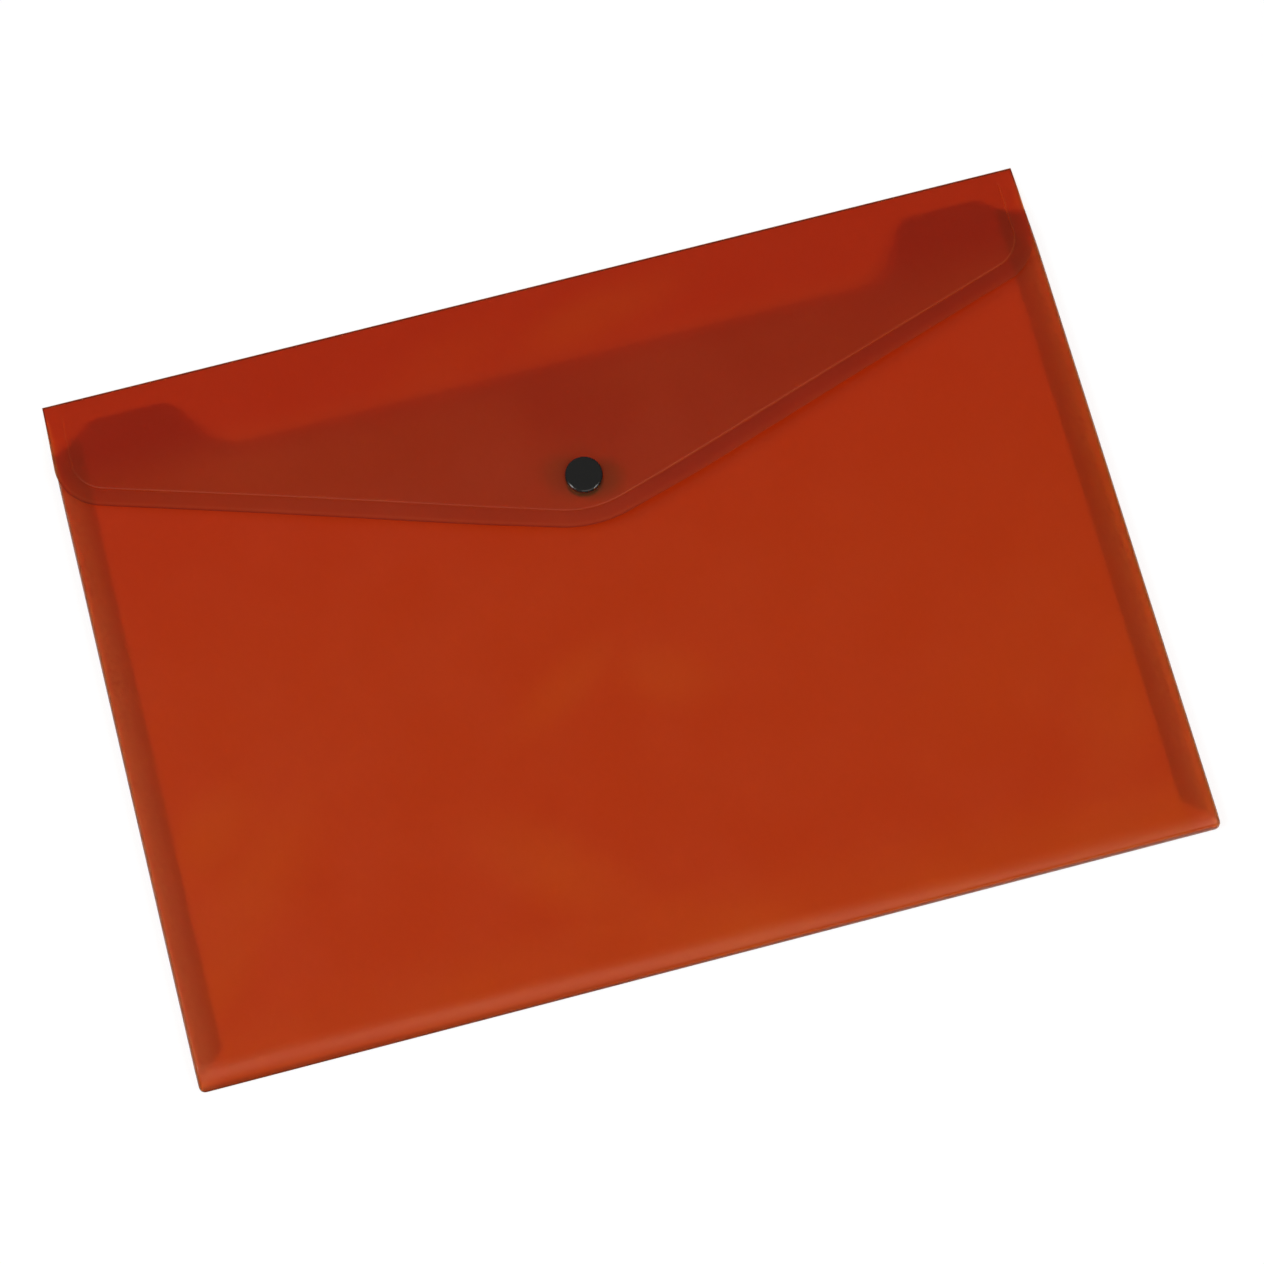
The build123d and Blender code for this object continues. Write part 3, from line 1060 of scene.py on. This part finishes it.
@dataclass
class ClosingFlap:
    """The V-edged flap with its embossed line. Pairs of values are for the left and the right."""

    size: Outline = Outline()
    start_y: float = 118.35
    start_z: float = 0.45
    bend_z: float = 6.6
    level_y: float = 62.0
    level_z: float = 9.2
    ease_reach: float = 7.9
    corner_y: float = 82.6
    apex_y: float = 27.31
    corner_radius: float = 18.0
    tip_radius: float = 40.0
    arc_steps: int = 20
    band: float = 12.0
    column_step: float = 2.5
    column_rows: int = 46
    inner_rings: Span = (9.5, 7.5)
    line_rings: int = 12
    line_reach: float = 2.2
    edge_rings: tuple[float, ...] = (3.4, 2.2, 1.6, 1.3, 1.0, 0.7, 0.4, 0.2, 0.0)
    line_inset: float = 5.8
    line_depth: float = 0.12
    line_width: float = 0.3
    line_start: float = 2.8
    line_fade: float = 3.0
    presses: Span = (0.17, 0.64)
    side_calm: float = 0.6
    # painted shade on the border, weaker at the left than at the right
    border_shades: Span = (0.3, 1.0)
    border_shade_fade: float = 0.6
    # painted contact shadow along the cut edge, strong at the left and faint at the right
    edge_shadows: Span = (1.0, 0.1)
    edge_shadow_width: float = 0.35
    rim_inset: float = 1.0
    # painted highlight inside the flap's cut edge, at the left only
    rim_highlights: Span = (0.3, 0.0)
    # painted light towards the flap's right edge
    right_edge_light: float = 0.22
    right_edge_reach: float = 2.5
    right_from: float = -10.0
    right_run: float = 40.0
    drops: Span = (0.7, 1.2)
    drop_run: float = 40.0
    side_steps: Span = (-0.35, 0.9)
    step_y: float = 101.0
    step_run: float = 34.0

    def rise(self, y: Array) -> Array:
        """Height of the arched flap: straight runs whose corners are eased by parabolas.

        Within reach of a corner the slope changes evenly from one run's to the other's.

        Args:
            y: places along the flap.

        Returns:
            The middle surface's height at each place.
        """
        steep = (self.bend_z - self.start_z) / (self.size.bend_y - self.start_y)
        gentle = (self.level_z - self.bend_z) / (self.level_y - self.size.bend_y)
        at_bend = y - self.size.bend_y
        at_level = y - self.level_y
        reach = self.ease_reach
        height = np.where(at_level > 0.0, self.level_z + gentle * at_level, self.level_z)
        height = np.where(at_bend > 0.0, self.bend_z + steep * at_bend, height)
        for at, above, below in ((at_bend, steep, gentle), (at_level, gentle, 0.0)):
            inside = np.clip(1.0 - np.abs(at) / reach, 0.0, None)
            height = height + (above - below) * reach * inside**2 / 4.0
        return height

    def edge(self, inset: float) -> Array:
        """Lower edge from side to side, moved inwards: a V with rounded corners and tip.

        Args:
            inset: how far inside the flap's outline.

        Returns:
            The edge's points, from the left side to the right side.
        """
        wide = self.size.half_width
        slope = (self.corner_y - self.apex_y) / wide
        lean = inset * math.hypot(1.0, slope)
        side = wide - inset
        corner = self.corner_y - slope * inset + lean
        apex = (0.0, self.apex_y + lean)
        corners = [(-side, self.start_y), (-side, corner), apex, (side, corner), (side, self.start_y)]
        radii = [self.corner_radius - inset, self.tip_radius - inset, self.corner_radius - inset]
        return rounded_path(corners, radii, self.arc_steps)[1:-1]

    def columns(self) -> tuple[Array, Array, Array]:
        """Columns from the inset edge up to the crease, and the line around their sides and feet.

        Returns:
            The columns' places in plan, the line's points from the left side's top to the right's, and
            the unit normals that point out from it.
        """
        low = divided(self.edge(self.band), self.column_step)
        up = np.linspace(0.0, 1.0, self.column_rows)
        along = low[:, 1] + (self.start_y - low[:, 1]) * up[:, None]
        inner = np.stack([np.broadcast_to(low[:, 0], along.shape), along], axis=-1)
        line = np.concatenate([inner[:0:-1, 0], low, inner[1:, -1]])
        run = np.gradient(low, axis=0)
        out = np.stack([run[:, 1], -run[:, 0]], axis=-1)
        out /= np.linalg.norm(out, axis=1, keepdims=True)
        out[0] = (-1.0, 0.0)
        out[-1] = (1.0, 0.0)
        left = np.tile(out[0], (len(up) - 1, 1))
        return inner, line, np.concatenate([left, out, -left])

    def marks(self, x: Array, lower: Array, inset: Array, fade: Array) -> dict[str, Array]:
        """Works out what the material reads on the rings.

        Painted shade falls on the border, outside the embossed line, deeper at the right. At the left a
        fainter painted highlight follows the cut edge, a painted contact shadow lies along the cut edge,
        stronger at the left, and at the right painted light makes the sheet lighter towards the edge.

        Args:
            x: the line's places across.
            lower: how far the line faces down the flap, from 0 at the sides to 1.
            inset: the rings' distances inside the outline.
            fade: 0 next to the crease and 1 further down, for each ring's places.

        Returns:
            For each place how much embossed press and painted light it has, how much painted shade as
            border and how much painted contact shadow along the cut.
        """
        to_right = ease((x - self.right_from) / self.right_run)
        pairs = (self.presses, self.border_shades, self.edge_shadows, self.rim_highlights)
        press, border, cut, rim_highlight = (between(to_right, ends) for ends in pairs)
        deep = bell(inset - self.line_inset, self.line_width)[:, None] * fade
        rim = bell(inset - self.rim_inset, self.line_width)[:, None] * fade
        outside = ease((self.line_inset - inset) / self.border_shade_fade)[:, None] * fade
        # painted light towards the flap's edge
        thin = ease(1.0 - inset / self.right_edge_reach)[:, None] * lower
        calm = 1.0 - self.side_calm * to_right * (1.0 - lower)
        return {
            # embossed line, painted highlight along the left cut edge and painted light towards the right
            # edge
            "pressed_and_lit": press * calm * deep + rim_highlight * rim + self.right_edge_light * to_right * thin,
            # painted shade on the border
            "border": border * outside * lower,
            # painted contact shadow along the cut edge
            "cut": cut * bell(inset, self.edge_shadow_width)[:, None] * fade,
        }

    def surface(self) -> Surface:
        """Columns from the inset edge up to the crease, and a band of rings around them to the outline.

        A ring's points are those of the columns' line moved out along its normals, a little further along
        both halves of the lower edge. The embossed line is a bell-shaped dip across the rings. Below the
        crease the right side leans in and the left side out a little.

        Returns:
            The middle surface with its marks.
        """
        inner, line, out = self.columns()
        dip = self.line_width * np.linspace(self.line_reach, -self.line_reach, self.line_rings)
        inset = np.concatenate([[self.band, *self.inner_rings], self.line_inset + dip, self.edge_rings])
        lower = np.clip(-out[:, 1], 0.0, 1.0)
        drop = np.where(line[:, 0] < 0.0, *self.drops) * ease(np.abs(line[:, 0]) / self.drop_run)
        reach = (self.band - inset)[:, None] * (1.0 + drop * lower / self.band)
        rings = line + out * reach[:, :, None]
        fade = ease((self.start_y - self.line_start - rings[:, :, 1]) / self.line_fade)
        deep = bell(inset - self.line_inset, self.line_width)[:, None] * fade
        ring_z = self.rise(rings[:, :, 1]) - self.line_depth * deep
        inner_points = stacked(inner[:, :, 0], inner[:, :, 1], self.rise(inner[:, :, 1]))
        points = np.concatenate([inner_points, stacked(rings[:, :, 0], rings[:, :, 1], ring_z)])
        inner_quads = grid_quads(*inner.shape[:2])
        ring_faces = grid_quads(*ring_z.shape)[:, ::-1] + len(inner_points)
        kept, quads = merged(points, np.concatenate([inner_quads, ring_faces]))
        below = ease((self.step_y - points[:, 1]) / self.step_run + 0.5)
        inward = np.where(points[:, 0] < 0.0, *self.side_steps)
        points[:, 0] -= below * inward * points[:, 0] / self.size.half_width
        plain = np.zeros(len(inner_points))
        marks = self.marks(line[:, 0], lower, inset, fade)
        marks = {name: np.append(plain, mark)[kept] for name, mark in marks.items()}
        return Surface(points[kept], quads, marks)

    def build(self, finish: Material) -> None:
        """Makes the flap and puts it on its own body."""
        piece = self.surface().piece("closing_flap", self.size.sheet)
        place_piece(piece, Body.FLAP, finish, ["flap_panel"])


@dataclass(frozen=True)
class Section:
    """Half section of one moulded piece, for a CAD node of a body.

    Its points are radius and height pairs in millimetres, with the solid on the left of the way along
    them, and each inner point has a fillet. A section whose ends have radius 0 is closed by poles, and
    any other by joining its ends.
    """

    name: str
    node: str
    body: Body
    points: tuple[Span, ...]
    fillets: tuple[float, ...]


@dataclass
class PressStud:
    """The four moulded pieces of the popper, turned about its upright axis."""

    axis_y: float = 46.5
    around: int = 96
    arc_steps: int = 9
    sharp_deg: float = 35.0
    sections: tuple[Section, ...] = (
        Section(
            "popper_cap_black",
            "popper_cap",
            Body.FLAP,
            (
                (0.0, 8.05), (1.7, 8.05), (1.7, 8.4), (1.0, 8.4), (1.0, 9.3),
                (6.2, 9.3), (6.2, 10.9), (2.0, 10.82), (0.0, 10.76),
            ),
            (0.1, 0.1, 0.0, 0.0, 0.2, 0.7, 1.0),
        ),
        Section(
            "popper_socket_black",
            "popper_socket",
            Body.FLAP,
            (
                (1.05, 9.1), (1.05, 8.4), (2.68, 8.4), (2.68, 7.35), (2.55, 7.35), (2.55, 6.9),
                (4.43, 6.9), (4.43, 8.3), (5.23, 8.3), (5.23, 9.1), (1.05, 9.1),
            ),
            (0.0, 0.1, 0.0, 0.0, 0.2, 0.2, 0.15, 0.2, 0.0),
        ),
        Section(
            "popper_stud_black",
            "popper_stud",
            Body.POCKET,
            (
                (1.05, 6.0), (5.23, 6.0), (5.23, 6.8), (2.1, 6.8), (2.1, 7.2), (2.2, 7.2),
                (2.2, 7.8), (1.6, 7.8), (1.6, 7.1), (1.05, 7.1), (1.05, 6.0),
            ),
            (0.0, 0.2, 0.1, 0.0, 0.0, 0.2, 0.05, 0.0, 0.0),
        ),
        Section(
            "popper_backing_black",
            "popper_stud_cap",
            Body.POCKET,
            (
                (0.0, 4.82), (2.0, 4.7), (6.2, 4.7), (6.2, 5.8), (1.0, 5.8),
                (1.0, 7.1), (1.45, 7.1), (1.45, 7.45), (0.0, 7.45),
            ),
            (0.2, 0.8, 0.0, 0.0, 0.0, 0.1, 0.1),
        ),
    )

    def turned(self, section: Section) -> Piece:
        """Turns a section about the axis: each place is the radius times cosine and sine.

        Args:
            section: what is turned.

        Returns:
            The new object.
        """
        path = rounded_path(section.points, section.fillets, self.arc_steps)
        poles = section.points[0][0] == 0.0
        ring = path[1:-1] if poles else path[:-1]
        angle = np.linspace(0.0, 2.0 * math.pi, self.around, endpoint=False)
        x = ring[:, :1] * np.cos(angle)
        y = self.axis_y + ring[:, :1] * np.sin(angle)
        body = stacked(x, y, np.broadcast_to(ring[:, 1:], x.shape))
        count = len(body)
        if not poles:
            looped = ring_quads(len(ring) + 1, self.around) % count
            return new_piece(section.name, body, [looped], self.sharp_deg)
        ends = np.array([[0.0, self.axis_y, path[0, 1]], [0.0, self.axis_y, path[-1, 1]]])
        first = np.arange(self.around)
        after = np.roll(first, -1)
        last = count - self.around
        foot = np.stack([np.full_like(first, count), after, first], axis=-1)
        head = np.stack([np.full_like(first, count + 1), first + last, after + last], axis=-1)
        faces = [ring_quads(len(ring), self.around), np.concatenate([foot, head])]
        return new_piece(section.name, np.concatenate([body, ends]), faces, self.sharp_deg)

    def build(self, finish: Material) -> None:
        """Makes the four pieces and puts each on its body."""
        for section in self.sections:
            place_piece(self.turned(section), section.body, finish, [section.node])


@dataclass(frozen=True)
class Lamp:
    """One soft box: where it hangs, how large it is and how strong."""

    name: str
    place: Triple
    size: float
    watts: float

    def build(self) -> None:
        """Hangs the lamp so that it faces the wallet."""
        light = bpy.data.lights.new(self.name, "AREA")
        light.shape = "SQUARE"
        light.size = self.size
        light.energy = self.watts
        lamp = bpy.data.objects.new(self.name, light)
        lamp.location = self.place
        lamp.rotation_euler = (-Vector(self.place)).to_track_quat("-Z", "Y").to_euler()
        bpy.context.scene.collection.objects.link(lamp)


@dataclass
class Studio:
    """White table, soft boxes and the camera at the photograph's viewing angle."""

    camera_place: Triple = (-0.07905, -0.36578, 1.19892)
    camera_ahead: Triple = (0.06479, 0.28636, -0.95593)
    camera_up: Triple = (0.24611, 0.92377, 0.29340)
    lens_mm: float = 109.593
    sensor_mm: float = 36.0
    near_clip: float = 0.01
    room_strengths: Span = (0.12, 0.25)
    room_heights: Span = (0.5, 0.85)
    table_half: float = 4.0
    table_drop: float = 0.00005
    table_colour: Triple = (0.95, 0.95, 0.95)
    table_lift: float = 0.85
    bounces: int = 32
    diffuse_bounces: int = 6
    lamps: tuple[Lamp, ...] = (
        Lamp("left_soft_box", (-2.28, -0.23, 3.28), 1.0, 90.0),
        Lamp("right_soft_box", (1.93, -1.70, 3.06), 1.0, 65.0),
        Lamp("front_soft_box", (-0.12, -2.46, 3.15), 2.2, 42.0),
    )

    def table(self) -> None:
        """Lays a wide white table, whose shadows are lightened for the camera."""
        half = self.table_half
        corners = [(-half, -half, 0.0), (half, -half, 0.0), (half, half, 0.0), (-half, half, 0.0)]
        mesh = bpy.data.meshes.new("white_table")
        mesh.from_pydata(corners, [], [(0, 1, 2, 3)])
        table = bpy.data.objects.new("white_table", mesh)
        table.location.z = -self.table_drop
        bpy.context.scene.collection.objects.link(table)
        top = bpy.data.materials.new("white_table_top")
        bench = NodeBench(top)
        paint = bench.add("ShaderNodeBsdfDiffuse", Color=(*self.table_colour, 1.0))
        glow = bench.add("ShaderNodeEmission", Color=WHITE, Strength=1.0)
        seen = bench.add("ShaderNodeLightPath").outputs["Is Camera Ray"]
        bench.output(bench.mix(bench.calc("MULTIPLY", seen, self.table_lift), paint, glow))
        mesh.materials.append(top)

    def world(self) -> None:
        """Gives the room dim walls, a paler ceiling and a white look to the camera."""
        world = bpy.data.worlds.new("studio_room")
        bench = NodeBench(world)
        way = bench.split(bench.add("ShaderNodeTexCoord").outputs["Generated"])
        room = bench.add("ShaderNodeBackground", Color=WHITE)
        strength = bench.ramp(way["Z"], self.room_heights, self.room_strengths, "LINEAR")
        bench.join(strength, room.inputs["Strength"])
        white = bench.add("ShaderNodeBackground", Color=WHITE)
        seen = bench.add("ShaderNodeLightPath").outputs["Is Camera Ray"]
        bench.output(bench.mix(seen, room, white))
        bpy.context.scene.world = world

    def camera(self) -> None:
        """Sets the camera where the photograph was taken from."""
        data = bpy.data.cameras.new("photo_camera")
        data.lens = self.lens_mm
        data.sensor_width = self.sensor_mm
        data.sensor_fit = "HORIZONTAL"
        data.clip_start = self.near_clip
        camera = bpy.data.objects.new("photo_camera", data)
        ahead = Vector(self.camera_ahead).normalized()
        right = ahead.cross(Vector(self.camera_up)).normalized()
        turn = Matrix((right, right.cross(ahead), -ahead)).transposed()
        camera.matrix_world = Matrix.Translation(self.camera_place) @ turn.to_4x4()
        bpy.context.scene.collection.objects.link(camera)
        bpy.context.scene.camera = camera

    def build(self) -> None:
        """Sets up table, room, lamps, camera and how light is followed."""
        scene = bpy.context.scene
        scene.view_settings.view_transform = "Standard"
        scene.cycles.max_bounces = self.bounces
        scene.cycles.transmission_bounces = self.bounces
        scene.cycles.transparent_max_bounces = self.bounces
        scene.cycles.diffuse_bounces = self.diffuse_bounces
        scene.cycles.caustics_refractive = False
        scene.cycles.blur_glossy = 0.0
        self.table()
        self.world()
        for lamp in self.lamps:
            lamp.build()
        self.camera()
        LOG.info("studio: %d lamps", len(self.lamps))


def main() -> None:
    """Builds the wallet piece by piece, then the studio."""
    logging.basicConfig(level=logging.INFO, format="%(name)s: %(message)s")
    sheet = FrostedSheet().material()
    flap_sheet = FlapSheet().material()
    popper = BlackPopper().material()
    PocketBack().build(sheet)
    PocketFront().build(sheet)
    TopCrease().build(sheet)
    ClosingFlap().build(flap_sheet)
    PressStud().build(popper)
    Studio().build()


if __name__ == "__main__":
    main()
